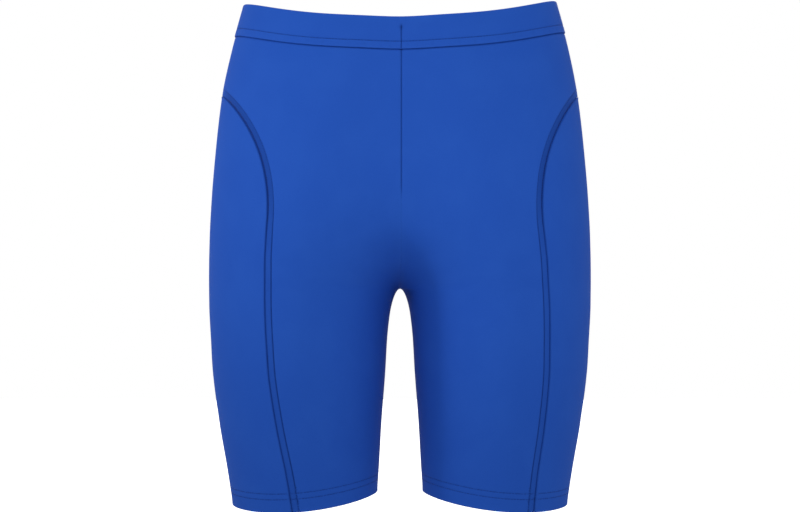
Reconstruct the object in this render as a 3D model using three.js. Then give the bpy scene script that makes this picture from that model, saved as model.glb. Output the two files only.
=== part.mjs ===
import * as THREE from "three";

// Cycling shorts, filled out as when they are worn: a waistband, two fronts, two backs and two
// arched side panels. Each is a wall of cloth laid on one smooth form, with a narrow seam between.
// Millimetres. +Z is up, the front faces -Y and the wearer's left is +X. The origin is the middle
// of the waist opening, half way up the waistband at the sides.

// Cloth
const CLOTH = 1.2;
const HEM_CLOTH = 2.2;
const BAND_CLOTH = 2.6;
const BAND_PROUD = 0.8;
const SEAM_GAP = 0.3;

// Waistband: its height, and how far it drops at the front and back of the waist. The power makes
// it drop mostly near the middle, and at the front's centre seam it dips a little more. The waist
// also leans, so it is higher on the wearer's left. The lean is a rise for each millimetre
// sideways, and fades out between two heights under the waist.
const BAND_HEIGHT = 28;
const WAIST_FRONT_DROP = 19.3;
const WAIST_BACK_DROP = 2;
const WAIST_POWER = 2.1;
const CENTRE_DIP = 1.9;
const CENTRE_DIP_WIDTH = 30;
const WAIST_LEAN = 0.012;
const LEAN_FOOT = -70;
const LEAN_TOP = -20;

// Leg hems: the edge's height at the outer side and the inseam, and its dip at front and back
const HEM_OUTER = -435.2;
const HEM_INNER = -423.8;
const HEM_DIP = 4.5;
const HEM_DEPTH = 17;
const HEM_FOLD = 1.5;

// Side panel: half its width along the cloth, above and at the hem, and the arch at its top. The
// power makes it narrow mostly near the hem. The panels sit a little turned round the body, and
// turn further towards the hems.
const PANEL_HALF_WIDTH = 107;
const PANEL_HALF_HEM = 88.1;
const PANEL_POWER = 1.35;
const PANEL_TURN = 4;
const LEG_TWIST = 7.6;
const ARCH_FOOT = -185;
const ARCH_TOP = -69;

// The form, in level sections from the hem to the waist. Each half is an oval: side is its outer
// edge, middle is where it is deepest, and frontInner and backInner are its inner edges, which
// are the leg's below the crotch and reach past the centre above it. soften rounds the valley
// where the two ovals meet, so the crotch lies where the inner edge is soften from the centre.
const CROTCH = -242;
const FORM = [
  { z: -445, side: 148.6, middle: 86, frontInner: 22.7, backInner: 22.7, front: 72, back: 66, soften: 5 },
  { z: -404, side: 154.8, middle: 88, frontInner: 19.7, backInner: 19.7, front: 77, back: 70, soften: 5 },
  { z: -361, side: 162.2, middle: 90, frontInner: 17.3, backInner: 17.3, front: 83.5, back: 76, soften: 5 },
  { z: -318, side: 167.8, middle: 91.5, frontInner: 14.2, backInner: 14.2, front: 89, back: 83, soften: 5 },
  { z: -285, side: 169.8, middle: 91.5, frontInner: 12.4, backInner: 12.4, front: 92, back: 90, soften: 5 },
  { z: -264, side: 171, middle: 90.5, frontInner: 10.3, backInner: 10.3, front: 93.5, back: 95, soften: 5 },
  { z: -253, side: 171.3, middle: 89.6, frontInner: 8.3, backInner: 8.3, front: 94.3, back: 97.7, soften: 5 },
  { z: CROTCH, side: 171.5, middle: 88.5, frontInner: 5, backInner: 5, front: 95, back: 101, soften: 5 },
  { z: -236, side: 171.5, middle: 87.5, frontInner: 2, backInner: 2, front: 95.5, back: 103, soften: 5.5 },
  { z: -226, side: 171.4, middle: 86, frontInner: -6, backInner: -6, front: 96.5, back: 106.5, soften: 7.5 },
  { z: -211, side: 171.2, middle: 83, frontInner: -22, backInner: -24, front: 98, back: 111, soften: 12 },
  { z: -181, side: 170.2, middle: 75, frontInner: -70, backInner: -75, front: 100, back: 117.5, soften: 20 },
  { z: -135, side: 167, middle: 62, frontInner: -130, backInner: -145, front: 101, back: 120, soften: 28 },
  { z: -70, side: 159.8, middle: 48, frontInner: -160, backInner: -160, front: 100, back: 114, soften: 32 },
  { z: -26, side: 150.8, middle: 42, frontInner: -165, backInner: -165, front: 96, back: 105, soften: 34 },
  { z: 20, side: 138.2, middle: 38, frontInner: -165, backInner: -165, front: 90, back: 96, soften: 34 },
];

// Mesh steps up the edges and across the pieces. The panel meets the crotch's row at HIP_LEVEL,
// and the rows crowd together towards the crotch.
const HIP_LEVEL = -232;
const LEG_STEPS = 11;
const HIP_STEPS = 2;
const ARCH_STEPS = 6;
const SIDE_SEAM_STEPS = 3;
const CROTCH_CROWDING = 2;
const PANEL_COLUMNS = 14;
const BAND_COLUMNS = 36;
const BAND_ROWS = 3;
const ROUND_STEPS = 90;
const NORMAL_STEP = 0.05;

const { lerp, clamp, smoothstep } = THREE.MathUtils;
const COLUMNS = Object.keys(FORM[0]).filter((name) => name !== "z");

// How fast one column changes with height at a row of the form, from the rows beside it.
function slope(row, name) {
  const below = FORM[Math.max(row - 1, 0)];
  const above = FORM[Math.min(row + 1, FORM.length - 1)];
  return (above[name] - below[name]) / (above.z - below.z);
}

// All columns of the form at height z, on a smooth curve through its rows.
function sectionAt(z) {
  const row = clamp(FORM.filter((section) => section.z <= z).length - 1, 0, FORM.length - 2);
  const low = FORM[row];
  const high = FORM[row + 1];
  const gap = high.z - low.z;
  const p = clamp((z - low.z) / gap, 0, 1);
  const rise = p * p * (3 - 2 * p);
  const section = {};
  for (const name of COLUMNS) {
    const bend = gap * p * (1 - p) * ((1 - p) * slope(row, name) - p * slope(row + 1, name));
    section[name] = lerp(low[name], high[name], rise) + bend;
  }
  return section;
}

// How far out a point is on its half's oval: under 1 inside the form and over 1 outside it.
function fullness(x, y, z) {
  const s = sectionAt(z);
  const across = Math.hypot(x, s.soften) - s.middle;
  const inner = y < 0 ? s.frontInner : s.backInner;
  const reach = across > 0 ? Math.hypot(s.side, s.soften) - s.middle : s.middle - inner;
  return (across / reach) ** 2 + (y / (y < 0 ? s.front : s.back)) ** 2;
}

// The form's direction outwards at a point on it.
function outwards({ x, y, z }) {
  const h = NORMAL_STEP;
  return new THREE.Vector3(
    fullness(x + h, y, z) - fullness(x - h, y, z),
    fullness(x, y + h, z) - fullness(x, y - h, z),
    fullness(x, y, z + h) - fullness(x, y, z - h),
  ).normalize();
}

// The form's point at a mark, which is a height and a turn round the left half: 0 is the side
// line, 1 is the front centre line or the inseam, and -1 is the same from the back.
function onForm({ turn, z }) {
  const s = sectionAt(z);
  const inner = turn > 0 ? s.frontInner : s.backInner;
  const farOut = Math.hypot(s.side, s.soften);
  const farIn = Math.max(inner, s.soften);
  const across = lerp(farIn, farOut, (1 + Math.cos(turn * Math.PI)) / 2);
  const reach = across > s.middle ? farOut - s.middle : s.middle - inner;
  const depth = Math.sqrt(Math.max(1 - ((across - s.middle) / reach) ** 2, 0));
  const x = Math.sqrt(Math.max(across ** 2 - s.soften ** 2, 0));
  return new THREE.Vector3(x, depth * (turn > 0 ? -s.front : s.back), z);
}

// The line round the form at one height, from the side line. facing is 1 for the front and -1 for
// the back.
class Round extends THREE.Curve {
  constructor(z, facing) {
    super();
    this.z = z;
    this.facing = facing;
    this.arcLengthDivisions = ROUND_STEPS;
  }
  getPoint(share) {
    return onForm({ turn: this.facing * share, z: this.z });
  }
}

// The mark at height z that lies a distance along the cloth from the side line.
function markAt(z, facing, distance) {
  const round = new Round(z, facing);
  return { turn: facing * round.getUtoTmapping(distance / round.getLength()), z };
}

function waistTop(turn) {
  const { x, y } = onForm({ turn, z: 0 });
  const { front, back } = sectionAt(0);
  const drop = y < 0 ? WAIST_FRONT_DROP : WAIST_BACK_DROP;
  const dip = y < 0 ? CENTRE_DIP * Math.exp(-((x / CENTRE_DIP_WIDTH) ** 2)) : 0;
  return BAND_HEIGHT / 2 - dip - drop * (Math.abs(y) / (y < 0 ? front : back)) ** WAIST_POWER;
}

const waistSeam = (turn) => ({ turn, z: waistTop(turn) - BAND_HEIGHT });

function hemEdge(turn) {
  const angle = turn * Math.PI;
  const level = lerp(HEM_OUTER, HEM_INNER, (1 - Math.cos(angle)) / 2);
  return { turn, z: level - HEM_DIP * Math.sin(angle) ** 2 };
}

// The side panel's edge below its arch. hand is 1 on the left leg and -1 on the right.
function panelEdge(z, facing, hand) {
  const down = Math.max((ARCH_FOOT - z) / (ARCH_FOOT - HEM_OUTER), 0);
  const half = lerp(PANEL_HALF_WIDTH, PANEL_HALF_HEM, down ** PANEL_POWER);
  return markAt(z, facing, half - facing * hand * (PANEL_TURN + LEG_TWIST * down));
}

// The arch, half an ellipse on the cloth, from its foot to its top at the side line.
function archEdge(share, facing, hand) {
  const angle = (share * Math.PI) / 2;
  const z = lerp(ARCH_FOOT, ARCH_TOP, Math.sin(angle));
  return markAt(z, facing, (PANEL_HALF_WIDTH - facing * hand * PANEL_TURN) * Math.cos(angle));
}

// Marks at even shares from one to the other, on a line that is a function of the share.
const spaced = (line, from, to, steps) =>
  Array.from({ length: steps + 1 }, (_, i) => line(lerp(from, to, i / steps)));

// Lines end to end, each starting where the last one stops.
const joined = (...lines) => lines.flatMap((line, i) => (i ? line.slice(1) : line));

// The leg's part of an edge: the turned-up hem, the end of its fold, and the cloth above it.
const legEdge = (line, hem, above) =>
  joined(
    spaced(line, hem, hem + HEM_DEPTH, 1),
    spaced(line, hem + HEM_DEPTH, hem + HEM_DEPTH + HEM_FOLD, 1),
    above(hem + HEM_DEPTH + HEM_FOLD),
  );

// The seam from the hem up the side panel's edge to half way round the arch.
function panelSide(facing, hand) {
  const line = (z) => panelEdge(z, facing, hand);
  const foot = hemEdge(line(HEM_OUTER).turn).z;
  return joined(
    legEdge(line, foot, (z) => spaced(line, z, HIP_LEVEL, LEG_STEPS)),
    spaced(line, HIP_LEVEL, ARCH_FOOT, HIP_STEPS),
    spaced((share) => archEdge(share, facing, hand), 0, 0.5, ARCH_STEPS),
  );
}

const panelTop = (facing, hand) =>
  spaced((share) => archEdge(share, facing, hand), 0.5, 1, ARCH_STEPS);

// The inseam and, above it, the seam through the crotch and up the centre.
function innerEdge(turn) {
  const line = (z) => ({ turn, z });
  const crowded = (end) => (share) => line(lerp(CROTCH, end, share ** CROTCH_CROWDING));
  const steps = HIP_STEPS + 2 * ARCH_STEPS + SIDE_SEAM_STEPS;
  return joined(
    legEdge(line, HEM_INNER, (z) => spaced(crowded(z), 1, 0, LEG_STEPS)),
    spaced(crowded(waistSeam(turn).z), 0, 1, steps),
  );
}

const blend = (a, b, share) => ({ turn: lerp(a.turn, b.turn, share), z: lerp(a.z, b.z, share) });

// A grid of marks that fills the space between four edges.
function patch(left, right, bottom, top) {
  const rows = left.length - 1;
  const columns = bottom.length - 1;
  return left.map((start, i) =>
    bottom.map((foot, j) => {
      const up = i / rows;
      const over = j / columns;
      const across = blend(start, right[i], over);
      const along = blend(foot, top[j], up);
      const corners = blend(
        blend(bottom[0], bottom[columns], over),
        blend(top[0], top[columns], over),
        up,
      );
      return { turn: across.turn + along.turn - corners.turn, z: across.z + along.z - corners.z };
    }),
  );
}

// A mark moved half a seam's gap towards its neighbour.
function setBack(mark, neighbour) {
  const apart = onForm(mark).distanceTo(onForm(neighbour));
  return blend(mark, neighbour, SEAM_GAP / 2 / apart);
}

// A panel's grid with its side and top edges set back from the seams. The hem is free.
function trimmed(grid) {
  const end = grid.length - 1;
  const rows = grid.map((row) => {
    const last = row.length - 1;
    return [setBack(row[0], row[1]), ...row.slice(1, last), setBack(row[last], row[last - 1])];
  });
  const top = rows[end].map((mark, j) => setBack(mark, rows[end - 1][j]));
  return [...rows.slice(0, end), top];
}

function frontOrBack(facing, hand) {
  const outer = joined(
    panelSide(facing, hand),
    panelTop(facing, hand),
    spaced((z) => ({ turn: 0, z }), ARCH_TOP, waistSeam(0).z, SIDE_SEAM_STEPS),
  );
  const hem = spaced(hemEdge, outer[0].turn, facing, PANEL_COLUMNS);
  const waist = spaced(waistSeam, 0, facing, PANEL_COLUMNS);
  return trimmed(patch(outer, innerEdge(facing), hem, waist));
}

function sidePanel(hand) {
  const front = panelSide(1, hand);
  const back = panelSide(-1, hand);
  const top = joined(panelTop(1, hand), panelTop(-1, hand).reverse());
  const hem = spaced(hemEdge, front[0].turn, back[0].turn, top.length - 1);
  return trimmed(patch(front, back, hem, top));
}

// The points of a grid on one half of the form, moved out from it by a depth for each row, with
// the lean of the waist.
const layer = (grid, hand, depth) =>
  grid.map((row, i) =>
    row.map((mark) => {
      const point = onForm(mark);
      point.addScaledVector(outwards(point), depth(i));
      point.x *= hand;
      point.z += WAIST_LEAN * point.x * smoothstep(point.z, LEAN_FOOT, LEAN_TOP);
      return point;
    }),
  );

// A closed wall between two grids of points, with a rim round its four edges.
function wall(outer, inner) {
  const rows = outer.length - 1;
  const columns = outer[0].length - 1;
  const points = [...outer.flat(), ...inner.flat()];
  const back = points.length / 2;
  const at = (i, j) => i * (columns + 1) + j;
  const faces = [];
  const quad = (a, b, c, d) => {
    const straight = points[a].distanceTo(points[c]) < points[b].distanceTo(points[d]);
    faces.push(...(straight ? [a, b, c, a, c, d] : [a, b, d, b, c, d]));
  };
  for (let i = 0; i < rows; i++)
    for (let j = 0; j < columns; j++) {
      const corners = [at(i, j), at(i + 1, j), at(i + 1, j + 1), at(i, j + 1)];
      quad(...corners);
      quad(...corners.reverse().map((corner) => back + corner));
    }
  const rim = (a, b) => quad(a, b, back + b, back + a);
  for (let i = 0; i < rows; i++) {
    rim(at(i + 1, 0), at(i, 0));
    rim(at(i, columns), at(i + 1, columns));
  }
  for (let j = 0; j < columns; j++) {
    rim(at(0, j), at(0, j + 1));
    rim(at(rows, j + 1), at(rows, j));
  }
  const geometry = new THREE.BufferGeometry().setFromPoints(points);
  geometry.setIndex(volume(points, faces) < 0 ? faces.reverse() : faces);
  geometry.computeVertexNormals();
  return geometry;
}

function volume(points, faces) {
  let sum = 0;
  for (let k = 0; k < faces.length; k += 3) {
    const [a, b, c] = faces.slice(k, k + 3).map((corner) => points[corner]);
    sum += new THREE.Vector3().crossVectors(b, c).dot(a);
  }
  return sum / 6;
}

// A panel's wall, thicker in the hem's first two rows, where the cloth is folded double.
function panel(grid, hand) {
  const thickness = (row) => (row < 2 ? HEM_CLOTH : CLOTH);
  return wall(layer(grid, hand, () => 0), layer(grid, hand, (row) => -thickness(row)));
}

// The waistband goes once round, a little proud, and its ends meet at the front centre line.
function waistband() {
  const raised = (up) => spaced(waistSeam, 1, -1, BAND_COLUMNS).map((mark) => (
    { turn: mark.turn, z: mark.z + up * BAND_HEIGHT }
  ));
  const rows = spaced(raised, 0, 1, BAND_ROWS);
  rows[0] = rows[0].map((mark, j) => setBack(mark, rows[1][j]));
  const half = rows.map((row) => [setBack(row[0], row[1]), ...row.slice(1)]);
  const ring = (depth) => {
    const right = layer(half, -1, () => depth);
    return layer(half, 1, () => depth).map((row, i) => [...row, ...right[i].slice(0, -1).reverse()]);
  };
  return wall(ring(BAND_PROUD), ring(BAND_PROUD - BAND_CLOTH));
}

const knit = new THREE.MeshStandardMaterial({ color: 0x2450b4, roughness: 0.55, metalness: 0 });
const bandKnit = new THREE.MeshStandardMaterial({ color: 0x2852b6, roughness: 0.5, metalness: 0 });

function named(name, geometry, material) {
  const mesh = new THREE.Mesh(geometry, material);
  mesh.name = name;
  return mesh;
}

const shorts = new THREE.Group();
shorts.add(named("waistband", waistband(), bandKnit));
for (const [hand, label] of [[1, "left"], [-1, "right"]]) {
  shorts.add(named(`front_${label}`, panel(frontOrBack(1, hand), hand), knit));
  shorts.add(named(`back_${label}`, panel(frontOrBack(-1, hand), hand), knit));
  shorts.add(named(`side_${label}`, panel(sidePanel(hand), hand), knit));
}

export default shorts;
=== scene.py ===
import math

import bpy
import numpy as np
from bpy.props import FloatProperty, FloatVectorProperty, PointerProperty
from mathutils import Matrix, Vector
from mathutils.geometry import delaunay_2d_cdt


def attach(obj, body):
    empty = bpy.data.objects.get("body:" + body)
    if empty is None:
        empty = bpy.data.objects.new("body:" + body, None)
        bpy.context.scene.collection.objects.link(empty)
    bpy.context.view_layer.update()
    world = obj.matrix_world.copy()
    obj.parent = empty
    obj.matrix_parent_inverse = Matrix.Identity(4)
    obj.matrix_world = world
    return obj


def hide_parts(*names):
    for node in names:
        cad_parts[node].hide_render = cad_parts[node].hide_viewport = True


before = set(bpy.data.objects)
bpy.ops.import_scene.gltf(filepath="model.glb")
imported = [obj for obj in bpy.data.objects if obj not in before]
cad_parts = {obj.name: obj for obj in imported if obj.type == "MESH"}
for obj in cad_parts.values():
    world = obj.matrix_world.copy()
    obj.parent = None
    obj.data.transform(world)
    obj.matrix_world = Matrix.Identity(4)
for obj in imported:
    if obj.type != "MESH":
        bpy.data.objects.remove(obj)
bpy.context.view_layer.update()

# Cycling shorts, filled out as when they are worn. Metres, +Z up, the front faces -Y and the
# wearer's left is +X. Each panel is laid out flat, given its sewn edges, stitch grooves and
# creases there, and then wrapped round one smooth form.

bl_info = {
    "name": "Cycling shorts",
    "version": (1, 0, 0),
    "blender": (4, 5, 0),
    "location": "View3D > Sidebar > Shorts",
    "description": "Builds stretch-knit cycling shorts with arched side panels and stitched hems",
    "category": "Add Mesh",
}

# Waistband: its height, and how far it drops at the front and back of the waist, with a small dip
# at the front's centre seam. The waist also leans, so it is higher on the wearer's left, and the
# lean fades out under it.
BAND_HEIGHT = 0.028
WAIST_FRONT_DROP = 0.0193
WAIST_BACK_DROP = 0.002
WAIST_POWER = 2.1
CENTRE_DIP = 0.0019
CENTRE_DIP_WIDTH = 0.030
WAIST_LEAN = 0.012
LEAN_FOOT = -0.070
LEAN_TOP = -0.020
BAND_PROUD = 0.0008

# Leg hems: the edge's height at the outer side and the inseam, and its dip at front and back
HEM_OUTER = -0.4352
HEM_INNER = -0.4238
HEM_DIP = 0.0045
HEM_DEPTH = 0.017

# Side panel: half its width along the cloth, above and at the hem, and the arch at its top. The
# power makes it narrow mostly near the hem. The panels sit a little turned round the body, and
# turn further towards the hems.
PANEL_HALF_WIDTH = 0.107
PANEL_HALF_HEM = 0.0881
PANEL_POWER = 1.35
PANEL_TURN = 0.004
LEG_TWIST = 0.0076
ARCH_FOOT = -0.185
ARCH_TOP = -0.069

# The form, in level sections from the hem to the waist, one oval for each half
CROTCH = -0.242
COLUMNS = ("side", "middle", "front_inner", "back_inner", "front", "back", "soften")
FORM = (
    # height, then the columns
    (-0.445, 0.1486, 0.0860, 0.0227, 0.0227, 0.0720, 0.0660, 0.005),
    (-0.404, 0.1548, 0.0880, 0.0197, 0.0197, 0.0770, 0.0700, 0.005),
    (-0.361, 0.1622, 0.0900, 0.0173, 0.0173, 0.0835, 0.0760, 0.005),
    (-0.318, 0.1678, 0.0915, 0.0142, 0.0142, 0.0890, 0.0830, 0.005),
    (-0.285, 0.1698, 0.0915, 0.0124, 0.0124, 0.0920, 0.0900, 0.005),
    (-0.264, 0.1710, 0.0905, 0.0103, 0.0103, 0.0935, 0.0950, 0.005),
    (-0.253, 0.1713, 0.0896, 0.0083, 0.0083, 0.0943, 0.0977, 0.005),
    (CROTCH, 0.1715, 0.0885, 0.0050, 0.0050, 0.0950, 0.1010, 0.005),
    (-0.236, 0.1715, 0.0875, 0.0020, 0.0020, 0.0955, 0.1030, 0.0055),
    (-0.226, 0.1714, 0.0860, -0.0060, -0.0060, 0.0965, 0.1065, 0.0075),
    (-0.211, 0.1712, 0.0830, -0.0220, -0.0240, 0.0980, 0.1110, 0.012),
    (-0.181, 0.1702, 0.0750, -0.0700, -0.0750, 0.1000, 0.1175, 0.020),
    (-0.135, 0.1670, 0.0620, -0.1300, -0.1450, 0.1010, 0.1200, 0.028),
    (-0.070, 0.1598, 0.0480, -0.1600, -0.1600, 0.1000, 0.1140, 0.032),
    (-0.026, 0.1508, 0.0420, -0.1650, -0.1650, 0.0960, 0.1050, 0.034),
    (0.020, 0.1382, 0.0380, -0.1650, -0.1650, 0.0900, 0.0960, 0.034),
)
HEIGHTS = np.array([row[0] for row in FORM])
SECTIONS = np.array([row[1:] for row in FORM])
NORMAL_STEP = 0.00005

# Topstitched seam of the side panel: the felled band's width, how far the band drops to the
# seam on the legs and in the arch, and between which distances from the seam it slopes. Then its
# stitch groove, which is shallower in the arch, and the puffed cloth on each side. At the top of
# the arch the band starts from nothing near the side line.
FELL_WIDTH = 0.0063
FELL_DROP = 0.0010
ARCH_FELL_DROP = 0.0014
ARCH_BLEND = 0.035
FELL_START = 0.006
FELL_FULL = 0.045
FELL_SLOPE_TOP = 0.00693
FELL_SLOPE_FOOT = -0.002205
GROOVE_DEPTH = 0.00055
ARCH_GROOVE_LOSS = 0.55
GROOVE_WIDTH = 0.00050
PUFF = 0.00013
PUFF_PLACE = 0.0085
PUFF_WIDTH = 0.0014
LIP_RISE = 0.00028
LIP_PLACE = 0.0013
LIP_WIDTH = 0.0012

# Sewn edges: how round they are, the sliver left between two pieces, the dip of a plain seam and
# of the waist's seam, and where the front's centre seam fades to a faint line
EDGE_ROUND = 0.0005
EDGE_GAP = 0.000015
SEAM_DIP = 0.00028
SEAM_DIP_WIDTH = 0.0013
WAIST_DIP = 0.0009
WAIST_DIP_WIDTH = 0.0011
FRONT_SEAM_END = -0.148
FRONT_SEAM_FADE = 0.018
FRONT_SEAM_FAINT = 0.15

# Hem: its two rows of stitches above the edge, its rounded fold, its slight flare and the step
# inside where the turned-up cloth ends
HEM_ROWS = (0.0116, 0.0166)
HEM_GROOVE = 0.00020
HEM_ROUND = 0.0010
HEM_FLARE = 0.00045
HEM_FLARE_HEIGHT = 0.0095
HEM_STEP = 0.0006

# Waistband: its stitch row above the seam, and the centre seam that ends in a small tuck. Then
# the heights of its points up the outer and down the inner face, and how far they lie from the
# centre seam and from each other round it.
BAND_ROW = 0.0062
BAND_GROOVE = 0.00036
BAND_GROOVE_WIDTH = 0.00045
BAND_LIP = 0.0003
BAND_EDGE_ROUND = 0.0005
BAND_SEAM_TOP = 0.0188
BAND_SEAM_DIP = 0.0006
BAND_SEAM_WIDTH = 0.0006
TUCK_DEPTH = 0.0004
TUCK_WIDTH = 0.0016
TUCK_HEIGHT = 0.0021
BAND_OUTER = (
    0.0004, 0.0010, 0.0022, 0.0036, 0.0048, 0.0054, 0.0058, 0.0062, 0.0066, 0.0070, 0.0078,
    0.0094, 0.0120, 0.0150, 0.0172, 0.0184, 0.0196, 0.0208, 0.0224, 0.0252,
)
BAND_INNER = (0.022, 0.016, 0.010, 0.004, 0.0)
BAND_SEAM_ROWS = (0, 0.0002, 0.0005, 0.0009, 0.0014, 0.0020, 0.0028, 0.0038)
BAND_CLEAR = 0.005
BAND_STEP = 0.0014
FOLD_STEPS = 8
LIP_STEPS = 4

# Puckers beside a row of stitches: how high they are, how uneven they make the grooves and the
# felled seam, and the length, start and weight of each of their waves
PUCKER = 0.00006
PUCKER_REACH = 0.0028
ROW_UNEVEN = 0.3
SEAM_UNEVEN = 0.25
WAVES = ((0.0073, 0.40, 0.5), (0.0041, 1.70, 0.3), (0.0119, 2.90, 0.4))

# The inner side never comes nearer than this to the outer one
LEAST_WALL = 0.0004

# Shade painted into grooves, where 1 is darkest: a stitch row, which shows less in the arch, the
# hem's rows, a seam, and the felled band on the legs and in the arch, with its soft edge. The last
# is how deep the waistband's grooves must be for their painted shade to be full.
ROW_PAINTED_SHADE = 0.80
ARCH_ROW_LOSS = 0.7
HEM_PAINTED_SHADE = 0.22
SEAM_PAINTED_SHADE = 0.40
SEAM_PAINTED_SHADE_WIDTH = 0.0008
FELL_PAINTED_SHADE = 0.16
ARCH_PAINTED_SHADE = 0.42
FELL_PAINTED_SHADE_EDGE = 0.0007
PAINTED_SHADE_DEPTH = 0.0010

# Soft creases: which panel, how far from the side line, height, length, tilt from level in
# degrees, width and depth. A negative depth is a ridge.
CREASES = (
    ("front", 0.176, -0.196, 0.052, 34, 0.0080, 0.00050),
    ("front", 0.158, -0.214, 0.060, 22, 0.0095, 0.00042),
    ("front", 0.150, -0.252, 0.038, -16, 0.0070, 0.00030),
    ("front", 0.124, -0.300, 0.046, 8, 0.0100, 0.00022),
    ("front", 0.132, -0.372, 0.040, -12, 0.0090, 0.00020),
    ("front", 0.090, -0.060, 0.050, -20, 0.0090, 0.00022),
    ("back", 0.170, -0.222, 0.064, 24, 0.0090, 0.00070),
    ("back", 0.138, -0.238, 0.078, 12, 0.0100, 0.00062),
    ("back", 0.150, -0.256, 0.050, -10, 0.0080, -0.00036),
    ("back", 0.128, -0.330, 0.052, 10, 0.0105, 0.00034),
    ("back", 0.144, -0.352, 0.036, -18, 0.0080, 0.00026),
    ("back", 0.122, -0.396, 0.044, 6, 0.0090, 0.00022),
    ("back", 0.110, -0.052, 0.060, -14, 0.0090, 0.00030),
    ("side", 0.030, -0.240, 0.050, 10, 0.0100, 0.00026),
    ("side", -0.036, -0.262, 0.060, -8, 0.0100, 0.00030),
    ("side", 0.022, -0.356, 0.044, -14, 0.0090, 0.00020),
    ("side", -0.020, -0.150, 0.046, 22, 0.0090, 0.00022),
)

# The small fold at the top of the front's inseam on the wearer's left, in the same columns, how
# deep it is, how dark its painted shadow is, and how far from the seam it is whole
FOLD = (0.265, -0.2475, 0.042, -10, 0.0085)
FOLD_DEPTH = 0.0010
FOLD_PAINTED_SHADE = 0.6
FOLD_CLEAR = 0.004

# Rows of points beside each kind of line, closest where the surface bends most
PLAIN_ROWS = (0.00025, 0.0006, 0.0011, 0.0018, 0.0030, 0.0050, 0.0078)
FELL_ROWS = (
    0.00025, 0.0006, 0.0011, 0.0018, 0.0028, 0.0040, 0.0050, 0.0057, 0.0060,
    0.0063, 0.0066, 0.0069, 0.0075, 0.0085, 0.0098, 0.0116, 0.0138,
)
LIP_ROWS = (0.00025, 0.0006, 0.0010, 0.0014, 0.0020, 0.0028, 0.0040, 0.0058, 0.0080)
HEM_LINES = (
    0.00025, 0.0006, 0.0010, 0.0015, 0.0024, 0.0040, 0.0060, 0.0080, 0.0095, 0.0108, 0.0112,
    0.0116, 0.0120, 0.0124, 0.0134, 0.0148, 0.0158, 0.0162, 0.0166, 0.0170, 0.0176, 0.0184,
    0.0196, 0.0214,
)

# Spacing of points: along seams, in the even spread, and how near they may lie to their own line,
# to other lines and to each other, before they are left out or merged. Then the steps of tables,
# how many places are measured at a time, and the least fold that is shown sharp.
SEAM_STEP = 0.0020
SPREAD_STEP = 0.0032
KEEP_SHARE = 0.98
NEAR_EDGE = 0.0002
SAME_PLACE = 0.00022
MERGE_NEAR = 1e-7
TABLE_STEPS = 240
CHUNK = 2000
SHARP_EDGE = math.radians(55)

# Studio: the lights' size and beam, where each stands and what it faces, and the camera's sensor
LIGHT_SIZE = 0.35
LIGHT_SPREAD = math.radians(20)
LIGHTS = (
    ("key", (-0.55, -2.1, 0.40), (0.01, 0, -0.15)),
    ("left", (-2.1, -0.5, 0.30), (-0.15, 0, -0.10)),
    ("right", (1.2, -1.7, 0.30), (0.06, 0, -0.16)),
    ("top", (0, -1.3, 1.8), (0, 0, -0.06)),
    ("rear", (0.5, 2.2, 0.50), (0, 0, -0.15)),
)
SENSOR = 36

# Stretch of the worn knit over its flat cut, round the body and along it
STRETCH_ROUND = 1.12
STRETCH_ALONG = 1.02

# Sewing thread: where a stitch's rings stand along it, how high they rise and how thick they are.
# Then a stitch's share of its pitch, where the first one starts, and how far they stray sideways.
STITCH_RINGS = (
    (0.0, -0.00016, 0.6),
    (0.2, 0.00004, 1.0),
    (0.5, 0.00010, 1.05),
    (0.8, 0.00004, 1.0),
    (1.0, -0.00016, 0.6),
)
STITCH_SHARE = 0.78
STITCH_START = 0.3
STITCH_SIDES = 6
STITCH_STRAY = 0.00006
SEED = 11

# Fine surface: the columns and rows of the knit's and the overlocking's loops, how rough the knit
# is on the panels and the waistband, the plies of thread round a stitch, and the heights of bumps
KNIT_COLUMN = 0.0005
KNIT_ROW = 0.0004
OVERLOCK_COLUMN = 0.0022
OVERLOCK_ROW = 0.0011
KNIT_ROUGH = 0.6
BAND_ROUGH = 0.57
PLIES = 3
FINE_BUMP = 0.00003
OVERLOCK_BUMP = 0.0003

# Overlocked seam allowance on the inside: points across it, as width and depth from the cloth
ALLOWANCE = (
    (-0.0033, 0.00010), (-0.0031, -0.00060), (-0.0020, -0.00095), (-0.0004, -0.00110),
    (0.0010, -0.00125), (0.0024, -0.00105), (0.0032, -0.00060), (0.0034, 0.00010),
)
ALLOWANCE_STEP = 0.0026


def lerp(start, end, share):
    return start + (end - start) * share


def smooth(start, end, value):
    """0 before start, 1 after end, and a soft step between."""
    share = np.clip((value - start) / (end - start), 0, 1)
    return share * share * (3 - 2 * share)


def swell(value, middle, width):
    """A soft hump, 1 at its middle."""
    return np.exp(-(((value - middle) / width) ** 2))


def waver(run):
    """An uneven wave along a line, about -1 to 1, for puckers."""
    return sum(weight * np.sin(run * math.tau / length + start) for length, start, weight in WAVES)


# The form


def slopes():
    """How fast each column changes with height at each row, from the rows beside it."""
    rows = np.arange(len(HEIGHTS))
    below = np.maximum(rows - 1, 0)
    above = np.minimum(rows + 1, len(rows) - 1)
    return (SECTIONS[above] - SECTIONS[below]) / (HEIGHTS[above] - HEIGHTS[below])[:, None]


SLOPES = slopes()


def section(z):
    """The form's sizes at each height, on a smooth curve through the rows of the table."""
    z = np.asarray(z, float)
    row = np.clip(np.searchsorted(HEIGHTS, z, side="right") - 1, 0, len(HEIGHTS) - 2)
    gap = (HEIGHTS[row + 1] - HEIGHTS[row])[..., None]
    part = np.clip((z - HEIGHTS[row])[..., None] / gap, 0, 1)
    bend = gap * part * (1 - part) * ((1 - part) * SLOPES[row] - part * SLOPES[row + 1])
    sizes = lerp(SECTIONS[row], SECTIONS[row + 1], part * part * (3 - 2 * part)) + bend
    return dict(zip(COLUMNS, np.moveaxis(sizes, -1, 0)))


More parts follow.
